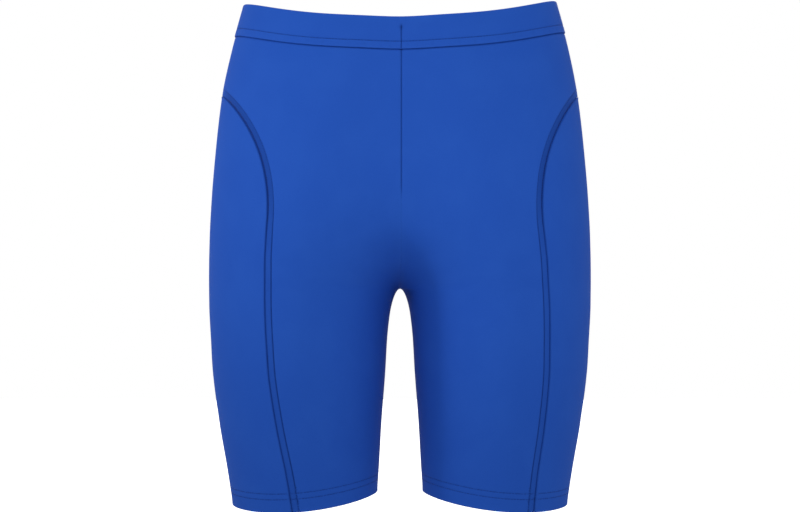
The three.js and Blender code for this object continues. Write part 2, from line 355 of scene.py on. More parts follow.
def fullness(points):
    """How far out points lie on their half's oval: under 1 inside the form and over 1 outside."""
    x, y, z = np.moveaxis(points, -1, 0)
    s = section(z)
    across = np.hypot(x, s["soften"]) - s["middle"]
    inner = np.where(y < 0, s["front_inner"], s["back_inner"])
    outer = np.hypot(s["side"], s["soften"])
    reach = np.where(across > 0, outer - s["middle"], s["middle"] - inner)
    return (across / reach) ** 2 + (y / np.where(y < 0, s["front"], s["back"])) ** 2


def unit(vectors):
    return vectors / np.linalg.norm(vectors, axis=-1, keepdims=True)


def outwards(points):
    """The form's direction outwards at points on it."""
    steps = np.eye(3) * NORMAL_STEP
    return unit(np.stack([fullness(points + step) - fullness(points - step) for step in steps], -1))


def on_form(turn, z):
    """The form's points at marks, which are a height and a turn round the left half: 0 is the
    side line, 1 is the front centre line or the inseam, and -1 is the same from the back."""
    turn, z = np.broadcast_arrays(np.asarray(turn, float), np.asarray(z, float))
    s = section(z)
    ahead = turn > 0
    inner = np.where(ahead, s["front_inner"], s["back_inner"])
    far_out = np.hypot(s["side"], s["soften"])
    far_in = np.maximum(inner, s["soften"])
    across = lerp(far_in, far_out, (1 + np.cos(turn * math.pi)) / 2)
    reach = np.where(across > s["middle"], far_out - s["middle"], s["middle"] - inner)
    depth = np.sqrt(np.maximum(1 - ((across - s["middle"]) / reach) ** 2, 0))
    x = np.sqrt(np.maximum(across**2 - s["soften"] ** 2, 0))
    return np.stack([x, depth * np.where(ahead, -s["front"], s["back"]), z], -1)


def leaned(points):
    """Points of the finished shorts, raised or lowered by the lean of the waist."""
    share = smooth(LEAN_FOOT, LEAN_TOP, points[..., 2])
    return points + (WAIST_LEAN * points[..., 0] * share)[..., None] * (0, 0, 1)


def waist_seam(turn):
    """The height of the seam under the waistband."""
    waist = section(0.0)
    x, y, _ = np.moveaxis(on_form(turn, 0.0), -1, 0)
    drop = np.where(y < 0, WAIST_FRONT_DROP, WAIST_BACK_DROP)
    dip = np.where(y < 0, CENTRE_DIP * swell(x, 0, CENTRE_DIP_WIDTH), 0)
    deep = np.abs(y) / np.where(y < 0, waist["front"], waist["back"])
    return -BAND_HEIGHT / 2 - dip - drop * deep**WAIST_POWER


def hem_edge(turn):
    """The height of the hem's edge."""
    angle = np.asarray(turn) * math.pi
    return lerp(HEM_OUTER, HEM_INNER, (1 - np.cos(angle)) / 2) - HEM_DIP * np.sin(angle) ** 2


def panel_edge(z, facing, hand):
    """How far the side panel's edge lies along the cloth from the side line, below its arch."""
    down = np.maximum((ARCH_FOOT - z) / (ARCH_FOOT - HEM_OUTER), 0)
    half = lerp(PANEL_HALF_WIDTH, PANEL_HALF_HEM, down**PANEL_POWER)
    return half - facing * hand * (PANEL_TURN + LEG_TWIST * down)


# The cloth spread flat


def table_levels():
    """Heights from the hem to the waist, close together at the crotch, where cloth runs level."""
    shares = np.linspace(0, 1, TABLE_STEPS + 1) ** 2
    below = lerp(CROTCH, HEIGHTS[0], shares[:0:-1])
    return np.concatenate((below, lerp(CROTCH, HEIGHTS[-1], shares)))


LEVELS = table_levels()
ROWS = np.arange(len(LEVELS))


def between(table, row, column):
    """A table's values at places between its rows and columns."""
    i = np.clip(row.astype(int), 0, table.shape[0] - 2)
    j = np.clip(column.astype(int), 0, table.shape[1] - 2)
    down, over = row - i, column - j
    start = lerp(table[i, j], table[i, j + 1], over)
    return lerp(start, lerp(table[i + 1, j], table[i + 1, j + 1], over), down)


class HalfSpread:
    """The cloth of a leg's front or back spread flat. A place on it is how far along the cloth it
    lies from the side line, and how far up, measured on the inseam and the centre seam."""

    def __init__(self, facing):
        shares = np.linspace(0, 1, TABLE_STEPS + 1)
        points = on_form(facing * shares, LEVELS[:, None])
        steps = np.linalg.norm(np.diff(points, axis=1), axis=2)
        lengths = np.cumsum(np.pad(steps, ((0, 0), (1, 0))), axis=1)
        climb = np.linalg.norm(np.diff(points[:, -1], axis=0), axis=1)
        self.facing = facing
        self.whole = lengths[:, -1]
        self.parts = lengths / self.whole[:, None]
        self.shares = np.array([np.interp(shares, row, shares) for row in self.parts])
        self.ups = LEVELS[0] + np.cumsum(np.pad(climb, (1, 0)))

    def along(self, turn, z):
        row = np.interp(z, LEVELS, ROWS)
        part = between(self.parts, row, np.abs(turn) * TABLE_STEPS)
        return part * np.interp(z, LEVELS, self.whole)

    def turn(self, along, z):
        row = np.interp(z, LEVELS, ROWS)
        part = np.clip(along / np.interp(z, LEVELS, self.whole), 0, 1)
        return self.facing * between(self.shares, row, part * TABLE_STEPS)

    def up(self, z):
        return np.interp(z, LEVELS, self.ups)

    def mark(self, places):
        z = np.interp(places[..., 1], self.ups, LEVELS)
        return self.turn(places[..., 0], z), z


class SideSpread:
    """The cloth of a side panel spread flat, to the front of the side line and, less than 0, to
    the back of it. Up is height."""

    def along(self, turn, z):
        return np.where(turn > 0, FRONT.along(turn, z), -BACK.along(turn, z))

    def up(self, z):
        return np.asarray(z, float)

    def mark(self, places):
        along, z = places[..., 0], places[..., 1]
        return np.where(along > 0, FRONT.turn(along, z), BACK.turn(-along, z)), z


FRONT = HalfSpread(1)
BACK = HalfSpread(-1)
SIDE = SideSpread()


# Lines on the flat cloth


def runs(line):
    """How far along a line each of its points lies."""
    return np.concatenate(([0], np.cumsum(np.linalg.norm(np.diff(line, axis=0), axis=1))))


def evenly(line, step):
    """A line's course again, with points at even steps."""
    run = runs(line)
    even = np.linspace(0, run[-1], max(round(run[-1] / step), 1) + 1)
    return np.stack([np.interp(even, run, column) for column in line.T], -1)


def beside(line, distance):
    """A line's points moved to its right."""
    ahead = unit(np.gradient(line, axis=0))
    return line + np.stack([ahead[:, 1], -ahead[:, 0]], -1) * distance


def nearest(line, places):
    """How far places lie from a line, and how far along it they are."""
    start, step = line[:-1], np.diff(line, axis=0)
    length = np.linalg.norm(step, axis=1)
    reached = runs(line)
    away, run = np.empty(len(places)), np.empty(len(places))
    for first in range(0, len(places), CHUNK):
        chunk = slice(first, first + CHUNK)
        offset = places[chunk, None] - start
        share = np.clip((offset * step).sum(2) / length**2, 0, 1)
        gap = np.linalg.norm(offset - share[..., None] * step, axis=2)
        best = gap.argmin(1)
        pick = np.arange(len(best)), best
        away[chunk] = gap[pick]
        run[chunk] = reached[best] + share[pick] * length[best]
    return away, run


def inside(loop, places):
    """Which places lie inside a closed loop."""
    x0, y0 = loop.T
    x1, y1 = np.roll(loop, -1, axis=0).T
    slant = (x1 - x0) / np.where(y1 == y0, 1, y1 - y0)
    found = np.empty(len(places), bool)
    for first in range(0, len(places), CHUNK):
        x, y = places[first:first + CHUNK, :, None].transpose(1, 0, 2)
        crossed = ((y0 > y) != (y1 > y)) & (x < x0 + (y - y0) * slant)
        found[first:first + CHUNK] = crossed.sum(1) % 2 == 1
    return found


def hexagons(loop, step):
    """An even spread of places over a loop's box, each row half a step over from the last."""
    low, high = loop.min(0), loop.max(0)
    rows = np.arange(low[1], high[1], step * math.sqrt(3) / 2)
    columns = np.arange(low[0], high[0], step)
    x = columns + (np.arange(len(rows)) % 2)[:, None] * step / 2
    return np.stack([x, np.broadcast_to(rows[:, None], x.shape)], -1).reshape(-1, 2)


def thinned(places, step):
    """Places without those that share a small cell with an earlier one."""
    _, first = np.unique(np.round(places / step).astype(int), axis=0, return_index=True)
    return places[np.sort(first)]


# The panels


def rolled(away, radius):
    """How far a rounded edge falls away beside it."""
    near = np.clip(radius - away, 0, radius)
    return np.sqrt(radius**2 - near**2) - radius


def hem_shape(away):
    """The hem's flare, as a move of the whole cloth."""
    return HEM_FLARE * np.clip(1 - away / HEM_FLARE_HEIGHT, 0, 1) ** 2


class Panel:
    """One cut piece: its outline on the flat cloth, and how its surface rises and falls there."""

    def __init__(self, facing, hand):
        self.facing = facing
        self.hand = hand
        self.kind = {1: "front", -1: "back", 0: "side"}[facing]
        self.flat = {1: FRONT, -1: BACK, 0: SIDE}[facing]
        self.name = f"{self.kind}_{'left' if hand > 0 else 'right'}"
        lines = self.side_lines() if facing == 0 else self.half_lines()
        self.lines = {label: evenly(line, SEAM_STEP) for label, line in lines.items()}
        self.rows = dict.fromkeys(lines, PLAIN_ROWS)
        self.rows["hem"] = HEM_LINES
        self.rows["panel"] = LIP_ROWS if facing == 0 else FELL_ROWS

    def lay(self, turn, z):
        turn, z = np.broadcast_arrays(np.asarray(turn, float), np.asarray(z, float))
        return np.stack([self.flat.along(turn, z), self.flat.up(z)], -1)

    def edge_line(self, facing):
        """The side panel's edge and half its arch, from the hem to the side line."""
        spread = FRONT if facing > 0 else BACK
        foot = hem_edge(spread.turn(panel_edge(HEM_OUTER, facing, self.hand), HEM_OUTER))
        z = np.linspace(foot, ARCH_FOOT, TABLE_STEPS)
        angle = np.linspace(0, math.pi / 2, TABLE_STEPS)[1:]
        straight = panel_edge(z, facing, self.hand)
        along = np.concatenate((straight, straight[-1] * np.cos(angle)))
        z = np.concatenate((z, lerp(ARCH_FOOT, ARCH_TOP, np.sin(angle))))
        return along, z

    def half_lines(self):
        """The outline of a front or back, round from the hem at the side panel."""
        facing = self.facing
        shares = np.linspace(0, 1, TABLE_STEPS)
        along, z = self.edge_line(facing)
        top = waist_seam(facing)
        start = abs(float(self.flat.turn(along[0], z[0])))
        hem = facing * lerp(1, start, shares)
        return {
            "panel": np.stack([along, self.flat.up(z)], -1),
            "side": self.lay(0, np.linspace(ARCH_TOP, waist_seam(0), TABLE_STEPS)),
            "waist": self.lay(facing * shares, waist_seam(facing * shares)),
            "centre": self.lay(facing, lerp(CROTCH, top, shares[::-1] ** 2)),
            "inseam": self.lay(facing, lerp(CROTCH, HEM_INNER, shares**2)),
            "hem": self.lay(hem, hem_edge(hem)),
        }

    def side_lines(self):
        """The outline of a side panel, over its arch from the back to the front."""
        ahead, high = self.edge_line(1)
        behind, low = self.edge_line(-1)
        along = np.concatenate((-behind, ahead[-2::-1]))
        z = np.concatenate((low, high[-2::-1]))
        hem = np.linspace(FRONT.turn(ahead[0], high[0]), BACK.turn(behind[0], low[0]), TABLE_STEPS)
        return {
            "panel": np.stack([along, z], -1),
            "hem": self.lay(hem, hem_edge(hem)),
        }

    def outline(self, gap=EDGE_GAP):
        """The closed loop of the piece, drawn in by half the gap of its seams."""
        return np.concatenate([beside(line, gap)[:-1] for line in self.lines.values()])

    def places(self, loop):
        """Places inside the outline: rows beside each line, and an even spread between them."""
        owners, kept = [], []
        for label, line in self.lines.items():
            for distance in self.rows[label]:
                kept.append(beside(line, distance))
                owners += [(label, distance * KEEP_SHARE)] * len(line)
        spread = hexagons(loop, SPREAD_STEP)
        places = np.concatenate((*kept, spread))
        labels = np.array([label for label, _ in owners] + [""] * len(spread))
        clear = np.array([distance for _, distance in owners] + [0.0] * len(spread))
        keep = inside(loop, places)
        for label, line in self.lines.items():
            away, _ = nearest(line, places)
            past = self.rows[label][-1] + SPREAD_STEP / 2
            least = np.where(labels == label, clear, np.where(labels == "", past, NEAR_EDGE))
            keep &= away >= least
        return thinned(places[keep], SAME_PLACE)

    def mesh_places(self):
        """Every place on the flat cloth and the triangles between them."""
        loop = self.outline()
        places = np.concatenate((loop, self.places(loop)))
        outline = [list(range(len(loop)))]
        places = [Vector(place) for place in places]
        made = delaunay_2d_cdt(places, [], outline, 1, MERGE_NEAR, False)
        places, faces = np.array([tuple(place) for place in made[0]]), np.array(made[2])
        within = inside(self.outline(2 * EDGE_GAP), places[faces].mean(1))
        return places, faces[within]

    def crease(self, places, along, z, length, tilt, width):
        """A soft crease, 1 at its middle."""
        x, y = (places - (along, float(self.flat.up(z)))).T
        turned = math.radians(tilt)
        over = x * math.cos(turned) + y * math.sin(turned)
        off = y * math.cos(turned) - x * math.sin(turned)
        return swell(over, 0, length / 2) * swell(off, 0, width)

    def creased(self, places):
        """The soft creases, as a move of the whole cloth."""
        move = np.zeros(len(places))
        for kind, *crease, depth in CREASES:
            if kind == self.kind:
                move -= depth * self.crease(places, *crease)
        return move

    def surface(self, places):
        """How far the whole cloth moves out at places, how far its outer side rises, how thick it
        is, how far it lies from the nearest seam, and how much shade is painted on it in grooves
        and the fold, up to 1."""
        shift = self.creased(places)
        relief = np.zeros(len(places))
        closest = np.full(len(places), 1.0)
        # Shade painted where the cloth lies in a groove or fold, up to 1
        hollow = np.zeros(len(places))
        for label, line in self.lines.items():
            away, run = nearest(line, places)
            closest = np.minimum(closest, away)
            if label == "hem":
                hem = away
                relief += rolled(away, HEM_ROUND)
                for row in HEM_ROWS:
                    depth = HEM_GROOVE * (1 + ROW_UNEVEN * waver(run + row))
                    relief -= depth * swell(away, row, GROOVE_WIDTH)
                    relief += PUCKER * waver(run) * swell(away, row, PUCKER_REACH)
                    hollow += HEM_PAINTED_SHADE * (1 + waver(run + row)) * swell(away, row, GROOVE_WIDTH)
            elif label == "panel":
                relief += rolled(away, EDGE_ROUND)
                hollow += SEAM_PAINTED_SHADE * swell(away, 0, SEAM_PAINTED_SHADE_WIDTH)
                if self.facing == 0:
                    relief += self.lip(away, run)
                else:
                    arch = self.arched(places)
                    full = smooth(FELL_START, FELL_FULL, places[:, 0])
                    relief += full * self.felled(away, run, arch)
                    hollow += full * self.felled_painted_shade(away, arch)
            elif label == "waist":
                relief -= WAIST_DIP * swell(away, 0, WAIST_DIP_WIDTH)
                hollow += SEAM_PAINTED_SHADE * swell(away, 0, WAIST_DIP_WIDTH)
            else:
                faint = self.faintness(label, places)
                relief += faint * rolled(away, EDGE_ROUND)
                relief -= faint * SEAM_DIP * swell(away, 0, SEAM_DIP_WIDTH)
                hollow += faint * SEAM_PAINTED_SHADE * swell(away, 0, SEAM_PAINTED_SHADE_WIDTH)
        shift += hem_shape(hem)
        # The fold is a real dip, with shadow painted into it as well
        if self.kind == "front" and self.hand > 0:
            fold = self.crease(places, *FOLD) * smooth(0, FOLD_CLEAR, closest)
            shift -= FOLD_DEPTH * fold
            hollow += FOLD_PAINTED_SHADE * fold
        cloth = bpy.context.scene.shorts_cloth
        thick = lerp(cloth.hem_wall, cloth.wall, smooth(HEM_DEPTH, HEM_DEPTH + HEM_STEP, hem))
        thick += rolled(hem, HEM_ROUND)
        thick = np.maximum(thick, LEAST_WALL - relief)
        return shift, relief, thick, closest, np.clip(hollow, 0, 1)

    def lip(self, away, run):
        """The side panel's edge stands over the felled band."""
        return LIP_RISE * swell(away, LIP_PLACE, LIP_WIDTH) * (1 + SEAM_UNEVEN * waver(run))

    def arched(self, places):
        """How far places have passed from the leg, at 0, to the arch of the side panel, at 1."""
        _, z = self.flat.mark(places)
        return smooth(ARCH_FOOT - ARCH_BLEND, ARCH_FOOT + ARCH_BLEND, z)

    def felled_painted_shade(self, away, arch):
        """Shade painted over the felled band and its stitch groove. In the arch they make one
        shaded dip.
        """
        band = smooth(FELL_WIDTH + FELL_PAINTED_SHADE_EDGE, FELL_WIDTH - FELL_PAINTED_SHADE_EDGE, away)
        row = (1 - ARCH_ROW_LOSS * arch) * ROW_PAINTED_SHADE * swell(away, FELL_WIDTH, GROOVE_WIDTH)
        return lerp(FELL_PAINTED_SHADE, ARCH_PAINTED_SHADE, arch) * band + row

    def felled(self, away, run, arch):
        """The felled band beside the side panel, with its stitch groove and the puff beyond."""
        drop = lerp(FELL_DROP, ARCH_FELL_DROP, arch)
        wave = waver(run)
        groove = GROOVE_DEPTH * (1 - ARCH_GROOVE_LOSS * arch) * (1 + SEAM_UNEVEN * wave)
        height = -drop * smooth(FELL_SLOPE_TOP, FELL_SLOPE_FOOT, away)
        height -= groove * swell(away, FELL_WIDTH, GROOVE_WIDTH)
        height += PUFF * (1 + 0.5 * wave) * swell(away, PUFF_PLACE, PUFF_WIDTH)
        return height + PUCKER * wave * swell(away, FELL_WIDTH / 2, PUCKER_REACH)

    def faintness(self, label, places):
        """How strongly a plain seam shows. The front's centre seam fades out above the crotch."""
        if label != "centre" or self.facing < 0:
            return 1.0
        _, z = self.flat.mark(places)
        whole = smooth(FRONT_SEAM_END - FRONT_SEAM_FADE, FRONT_SEAM_END, z)
        return lerp(FRONT_SEAM_FAINT, 1.0, whole)

    def points(self, places, *depths):
        """Points at depths out from the form, on this panel's side of the body."""
        base = on_form(*self.flat.mark(places))
        out = outwards(base)
        mirror = np.array([self.hand, 1, 1])
        return [leaned((base + out * depth[:, None]) * mirror) for depth in depths]

    def build(self):
        """The panel's mesh, closed round its edges, and the flat size of its cut."""
        places, faces = self.mesh_places()
        shift, relief, thick, closest, hollow = self.surface(places)
        outer, inner = self.points(places, shift + relief, shift - thick)
        piece = shell(f"{self.name}_panel", outer, inner, faces)
        # Shade painted on the outer side only
        hollow = np.concatenate((hollow, np.zeros(len(hollow))))
        set_cloth(piece, np.tile(np.column_stack((places, closest)), (2, 1)), hollow)
        corners = outer[faces]
        sides = np.cross(corners[:, 1] - corners[:, 0], corners[:, 2] - corners[:, 0])
        area = np.linalg.norm(sides, axis=1).sum() / 2 / (STRETCH_ROUND * STRETCH_ALONG)
        width, length = np.ptp(places, axis=0) / (STRETCH_ROUND, STRETCH_ALONG)
        return piece, (float(width), float(length)), float(area)


# Meshes


def mesh_object(name, points, faces):
    """An object with smooth faces and sharp folds, in the scene."""
    mesh = bpy.data.meshes.new(name)
    mesh.from_pydata(points.tolist(), [], faces.tolist() if hasattr(faces, "tolist") else faces)
    mesh.validate()
    mesh.shade_smooth()
    mesh.set_sharp_from_angle(angle=SHARP_EDGE)
    piece = bpy.data.objects.new(name, mesh)
    bpy.context.scene.collection.objects.link(piece)
    return piece


def volume(points, faces):
    a, b, c = points[faces].transpose(1, 0, 2)
    return (np.cross(b, c) * a).sum() / 6


def rim(faces):
    """The edges that only one triangle has, in its order."""
    edges = np.concatenate((faces[:, [0, 1]], faces[:, [1, 2]], faces[:, [2, 0]]))
    _, first, count = np.unique(
        np.sort(edges, axis=1), axis=0, return_index=True, return_counts=True
    )
    return edges[first[count == 1]]


def shell(name, outer, inner, faces):
    """A closed wall between two layers that share their triangles."""
    a, b = rim(faces).T
    back = len(outer)
    sides = np.concatenate((np.stack([b, a, a + back], -1), np.stack([b, a + back, b + back], -1)))
    faces = np.concatenate((faces, faces[:, ::-1] + back, sides))
    points = np.concatenate((outer, inner))
    if volume(points, faces) < 0:
        faces = faces[:, ::-1]
    return mesh_object(name, points, faces)


def set_cloth(piece, values, hollow=None):
    """Stores on each point, for the materials, its place on the cloth, which is along, up and from
    the seam, and how much shade to paint on it where it lies in a groove."""
    layer = piece.data.attributes.new("cloth", "FLOAT_VECTOR", "POINT")
    layer.data.foreach_set("vector", np.ascontiguousarray(values, np.float32).ravel())
    layer = piece.data.attributes.new("hollow", "FLOAT", "POINT")
    if hollow is not None:
        layer.data.foreach_set("value", np.ascontiguousarray(hollow, np.float32).ravel())


def grid_faces(rows, columns, wrap_rows, wrap_columns):
    """Quads over a grid of points, joined round where it wraps."""
    i, j = np.meshgrid(
        np.arange(rows if wrap_rows else rows - 1),
        np.arange(columns if wrap_columns else columns - 1),
        indexing="ij",
    )
    up, over = (i + 1) % rows, (j + 1) % columns
    corners = (i * columns + j, i * columns + over, up * columns + over, up * columns + j)
    return np.stack([corner.ravel() for corner in corners], -1)


def as_triangles(quads):
    return np.concatenate((quads[:, :3], quads[:, [0, 2, 3]]))


def facing_out(points, quads):
    """Quads turned so that the closed mesh they make faces out."""
    return quads if volume(points, as_triangles(quads)) > 0 else quads[:, ::-1]


def moved(face, start):
    """A face's corners, counted from another first point."""
    return tuple(int(corner) + start for corner in face)


def tubes(centres, across, out, radii, sides):
    """Closed tubes in one mesh: rings of points round centres, for each tube and ring."""
    count, rings = radii.shape
    angle = np.arange(sides) * math.tau / sides
    spokes = np.cos(angle)[:, None] * out[:, :, None] + np.sin(angle)[:, None] * across[:, :, None]
    points = (centres[:, :, None] + spokes * radii[:, :, None, None]).reshape(-1, 3)
    quads = grid_faces(rings, sides, False, True)
    cap = np.arange(sides)
    ends = [tuple(cap[::-1]), tuple(cap + (rings - 1) * sides)]
    each = [tuple(quad) for quad in quads] + ends
    starts = range(0, count * rings * sides, rings * sides)
    return points, [moved(face, start) for start in starts for face in each]


# The waistband


def band_turns():
    """Turns from the front centre to the back centre at even steps, closer at the centre seam."""
    turns = np.linspace(1, -1, 4 * TABLE_STEPS)
    run = runs(on_form(turns, waist_seam(turns)))
    even = np.linspace(BAND_CLEAR, run[-1], round(run[-1] / BAND_STEP))
    places = np.concatenate((BAND_SEAM_ROWS, even))
    return np.interp(places, run, turns), places


def band_profile():
    """The waistband's section: how high and how far out each point is, and whether it lies on the
    outer face. It runs up the outer face, over the fold and down the inner face."""
    thick = bpy.context.scene.shorts_cloth.band_wall
    half = thick / 2
    fold = np.linspace(0, math.pi, FOLD_STEPS + 1)
    lip = np.linspace(-math.pi / 2, 0, LIP_STEPS, endpoint=False)
    ups = np.concatenate((
        BAND_EDGE_ROUND * (1 + np.sin(lip)) - BAND_LIP,
        BAND_OUTER,
        BAND_HEIGHT - half + half * np.sin(fold),
        BAND_INNER,
    ))
    outs = np.concatenate((
        BAND_PROUD - BAND_EDGE_ROUND * (1 - np.cos(lip)),
        np.full(len(BAND_OUTER), BAND_PROUD),
        BAND_PROUD - half + half * np.cos(fold),
        np.full(len(BAND_INNER), BAND_PROUD - thick),
    ))
    face = np.zeros(len(ups))
    face[len(lip):len(lip) + len(BAND_OUTER)] = 1
    return ups, outs, face


def band_relief(up, run):
    """The outer face's rise and fall: the stitch row, its puckers and the centre seam."""
    wave = waver(run)
    height = -BAND_GROOVE * (1 + ROW_UNEVEN * wave) * swell(up, BAND_ROW, BAND_GROOVE_WIDTH)
    height += PUCKER * wave * swell(up, BAND_ROW / 2, PUCKER_REACH)
    seam = 1 - smooth(BAND_SEAM_TOP, BAND_SEAM_TOP + TUCK_HEIGHT, up)
    height -= BAND_SEAM_DIP * seam * swell(run, 0, BAND_SEAM_WIDTH)
    return height - TUCK_DEPTH * swell(run, 0, TUCK_WIDTH) * swell(up, BAND_SEAM_TOP, TUCK_HEIGHT)


def both_halves(left, mirror=(-1, 1, 1)):
    """Columns round the left half joined to their mirror images round the right half."""
    return np.concatenate((left, (left * mirror)[:, -2:0:-1]), axis=1)


def once_round(left):
    """A line round the left half, joined to its mirror image and closed."""
    ring = both_halves(left[None])[0]
    return np.concatenate((ring, ring[:1]))


def build_waistband():
    turns, places = band_turns()
    ups, outs, face = band_profile()
    base = on_form(turns, waist_seam(turns) + ups[:, None])
    run = both_halves(np.broadcast_to(places, (len(ups), len(places)))[..., None], -1)[..., 0]
    up = np.broadcast_to(ups[:, None], run.shape)
    relief = face[:, None] * band_relief(up, run)
    rise = outs[:, None] + relief
    points = leaned(both_halves(base) + both_halves(outwards(base)) * rise[..., None])
    quads = grid_faces(*points.shape[:2], True, True)
    points = points.reshape(-1, 3)
    piece = mesh_object("waist_band", points, facing_out(points, quads))
    near = np.minimum(np.abs(up), np.abs(run))
    # Shade painted into the waistband's grooves, by how deep they lie
    hollow = np.clip(-relief / PAINTED_SHADE_DEPTH, 0, 1)
    set_cloth(piece, np.stack([run, up, near], -1).reshape(-1, 3), hollow)
    return piece, float(2 * places[-1])


# Stitches and seam allowances


def sampled(line, at):
    """A line's values at distances along it."""
    run = runs(line[:, :3])
    return np.stack([np.interp(at, run, column) for column in line.T], -1)


def stitch_row(points, out, rng):
    """Stitches end to end along a line: their ring centres, directions and radii."""
    cloth = bpy.context.scene.shorts_cloth
    pitch = cloth.stitch_pitch
    whole = runs(points)[-1]
    starts = np.arange(STITCH_START * pitch, whole - pitch, pitch)
    where, lift, thick = np.array(STITCH_RINGS).T
    at = starts[:, None] + where * pitch * STITCH_SHARE
    line = np.concatenate((points, out, unit(np.gradient(points, axis=0))), axis=1)
    values = sampled(line, at.ravel()).reshape(*at.shape, -1)
    centre, away, ahead = values[..., :3], unit(values[..., 3:6]), unit(values[..., 6:])
    across = np.cross(ahead, away)
    stray = rng.normal(0, STITCH_STRAY, (len(starts), 1, 1))
    centre = centre + away * lift[:, None] + across * stray
    return centre, across, away, np.broadcast_to(cloth.thread * thick, at.shape)


def panel_row(panel, label, distance):
    """The row of stitches on a panel beside one of its lines, and the direction outwards."""
    places = evenly(beside(panel.lines[label], distance), SEAM_STEP)
    places = places[inside(panel.outline(), places)]
    shift, relief, *_ = panel.surface(places)
    rise = shift + relief
    points, raised = panel.points(places, rise, rise + 1)
    return points, raised - points


def build_topstitching():
    rng = np.random.default_rng(SEED)
    rows = []
    for panel in PANELS:
        if panel.facing:
            rows.append(panel_row(panel, "panel", FELL_WIDTH))
        rows += [panel_row(panel, "hem", row) for row in HEM_ROWS]
    rows.append(band_row())
    centres, across, out, radii = (
        np.concatenate(parts) for parts in zip(*(stitch_row(*row, rng) for row in rows))
    )
    points, faces = tubes(centres, across, out, radii, STITCH_SIDES)
    piece = mesh_object("topstitching", points, faces)
    ring = np.tile(np.repeat(np.arange(len(STITCH_RINGS)), STITCH_SIDES), len(centres))
    side = np.tile(np.arange(STITCH_SIDES), len(centres) * len(STITCH_RINGS))
    set_cloth(piece, np.stack([ring, side, np.zeros(len(ring))], -1) / STITCH_SIDES)
    return piece


def band_row():
    """The waistband's line of stitches, once round from the front centre."""
    turns, places = band_turns()
    base = on_form(turns, waist_seam(turns) + BAND_ROW)
    out = outwards(base)
    rise = BAND_PROUD + band_relief(BAND_ROW, places)
    return leaned(once_round(base + out * rise[:, None])), once_round(out)


def allowance(points, out, depth):
    """A strip of seam allowance on the inside of a seam: its points, as rows along the seam."""
    across = np.cross(unit(np.gradient(points, axis=0)), out)
    width, drop = np.array(ALLOWANCE).T
    inner = (points - out * depth)[:, None]
    return inner + across[:, None] * width[:, None] + out[:, None] * drop[:, None]


def seam_paths():
    """Every seam between panels, once each: points on the form and the direction outwards."""
    paths = []
    for panel in PANELS:
        labels = {1: ["panel", "side", "inseam"], -1: ["panel"], 0: []}[panel.facing]
        if panel.facing and panel.hand > 0:
            labels.append("centre")
        for label in labels:
            places = evenly(panel.lines[label], ALLOWANCE_STEP)
            zero = np.zeros(len(places))
            points, raised = panel.points(places, zero, zero + 1)
            paths.append((points, raised - points))
    turns, _ = band_turns()
    base = on_form(turns, waist_seam(turns))
    paths.append((leaned(once_round(base)), once_round(outwards(base))))
    return paths


def build_inside_seams():
    depth = bpy.context.scene.shorts_cloth.wall
    points, quads, cloth, count = [], [], [], 0
    for path, out in seam_paths():
        strip = allowance(path, out, depth)
        rows, columns = strip.shape[:2]
        flat = strip.reshape(-1, 3)
        faces = [tuple(quad) for quad in grid_faces(rows, columns, False, True)]
        faces += [tuple(range(columns))[::-1], tuple(range((rows - 1) * columns, rows * columns))]
        first = np.array([face[:3] for face in faces])
        second = np.array([(face[0], face[2], face[3]) for face in faces])
        if volume(flat, np.concatenate((first, second))) < 0:
            faces = [face[::-1] for face in faces]
        points.append(flat)
        quads += [moved(face, count) for face in faces]
        run = np.repeat(runs(path), columns)
        across = np.tile(np.array(ALLOWANCE)[:, 0], rows)
        cloth.append(np.stack([run, across, np.zeros(len(run))], -1))
        count += len(flat)
    piece = mesh_object("inside_seams", np.concatenate(points), quads)
    set_cloth(piece, np.concatenate(cloth))
    return piece


PANELS = [Panel(facing, hand) for hand in (1, -1) for facing in (1, -1, 0)]


# Materials


class Graph:
    """Adds nodes to a node tree and links them, with values where no link is given."""

    def __init__(self, tree):
        self.tree = tree

    def node(self, kind, **settings):
        made = self.tree.nodes.new(kind)
        for name, value in settings.items():
            setattr(made, name, value)
        return made

    def feed(self, socket, value):
        if isinstance(value, bpy.types.NodeSocket):
            self.tree.links.new(value, socket)
        elif value is not None:
            socket.default_value = value

    def math(self, operation, *values):
        made = self.node("ShaderNodeMath", operation=operation)
        for socket, value in zip(made.inputs, values):
            self.feed(socket, value)
        return made.outputs[0]

    def mix(self, share, first, second, blend="MIX"):
        made = self.node("ShaderNodeMix", data_type="RGBA", blend_type=blend)
        self.feed(made.inputs["Factor"], share)
        colours = [socket for socket in made.inputs if socket.type == "RGBA"]
        self.feed(colours[0], first)
        self.feed(colours[1], second)
        return next(socket for socket in made.outputs if socket.type == "RGBA")

    def noise(self, vector, scale, detail, roughness):
        made = self.node("ShaderNodeTexNoise")
        self.feed(made.inputs["Vector"], vector)
        made.inputs["Scale"].default_value = scale
        made.inputs["Detail"].default_value = detail
        made.inputs["Roughness"].default_value = roughness
        return made.outputs["Fac"]

    def spread(self, value, low, high, start, end):
        made = self.node("ShaderNodeMapRange", interpolation_type="SMOOTHSTEP")
        for socket, given in zip(made.inputs, (value, low, high, start, end)):
            self.feed(socket, given)
        return made.outputs[0]


def shader_group(name, inputs, outputs):
    """An empty node group with named inputs and outputs, and its graph and two end nodes."""
    group = bpy.data.node_groups.new(name, "ShaderNodeTree")
    for label, kind, default in inputs:
        socket = group.interface.new_socket(label, in_out="INPUT", socket_type=kind)
        if default is not None:
            socket.default_value = default
    for label, kind in outputs:
        group.interface.new_socket(label, in_out="OUTPUT", socket_type=kind)
    graph = Graph(group)
    return group, graph, graph.node("NodeGroupInput").outputs, graph.node("NodeGroupOutput").inputs


